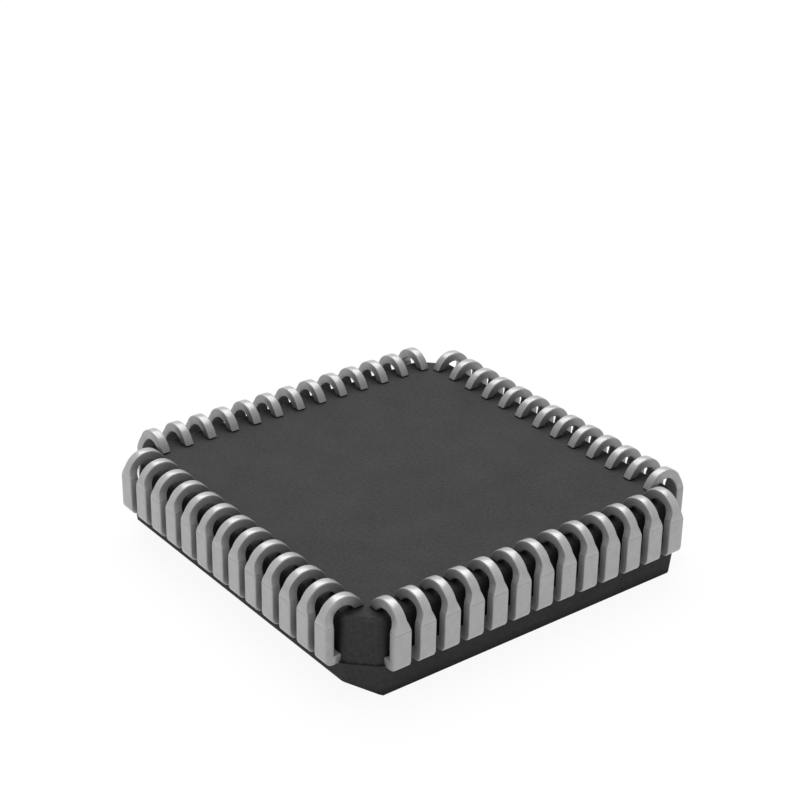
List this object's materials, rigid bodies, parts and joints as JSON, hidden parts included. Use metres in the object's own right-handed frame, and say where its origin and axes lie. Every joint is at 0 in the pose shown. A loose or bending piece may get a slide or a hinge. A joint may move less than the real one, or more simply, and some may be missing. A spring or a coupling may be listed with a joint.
{
  "type": "plcc chip",
  "caption": "Square moulded chip carrier with a row of J-shaped leads on each side, lying on its flat marking face with the leads up, as a surface-mount or socketed circuit.",
  "frame": {"origin": "centre of the marking face, on the surface that the chip lies on", "axes": "+Z from the marking face towards the hooks of the leads, -Y towards the bevelled side with the first lead, +X along that side away from the index corner"},
  "size_m": [0.02, 0.02, 0.0043],
  "materials": {
    "moulding": "fine matt moulded epoxy, charcoal",
    "tin": "satin tin plating on copper alloy",
    "lead_frame": "bare rolled copper alloy",
    "adhesive": "cured silver-filled epoxy",
    "silicon": "polished silicon with a metal pattern",
    "wire": "bright drawn gold"
  },
  "bodies": {
    "root": {"body": "moulding", "die_paddle": "lead_frame", "die_attach": "adhesive", "die": "silicon", "bond_wires": "wire", "lead_01": "tin", "lead_02": "tin", "lead_03": "tin", "lead_04": "tin", "lead_05": "tin", "lead_06": "tin", "lead_07": "tin", "lead_08": "tin", "lead_09": "tin", "lead_10": "tin", "lead_11": "tin", "lead_12": "tin", "lead_13": "tin", "lead_14": "tin", "lead_15": "tin", "lead_16": "tin", "lead_17": "tin", "lead_18": "tin", "lead_19": "tin", "lead_20": "tin", "lead_21": "tin", "lead_22": "tin", "lead_23": "tin", "lead_24": "tin", "lead_25": "tin", "lead_26": "tin", "lead_27": "tin", "lead_28": "tin", "lead_29": "tin", "lead_30": "tin", "lead_31": "tin", "lead_32": "tin", "lead_33": "tin", "lead_34": "tin", "lead_35": "tin", "lead_36": "tin", "lead_37": "tin", "lead_38": "tin", "lead_39": "tin", "lead_40": "tin", "lead_41": "tin", "lead_42": "tin", "lead_43": "tin", "lead_44": "tin", "lead_45": "tin", "lead_46": "tin", "lead_47": "tin", "lead_48": "tin", "lead_49": "tin", "lead_50": "tin", "lead_51": "tin", "lead_52": "tin"}
  },
  "joints": []
}
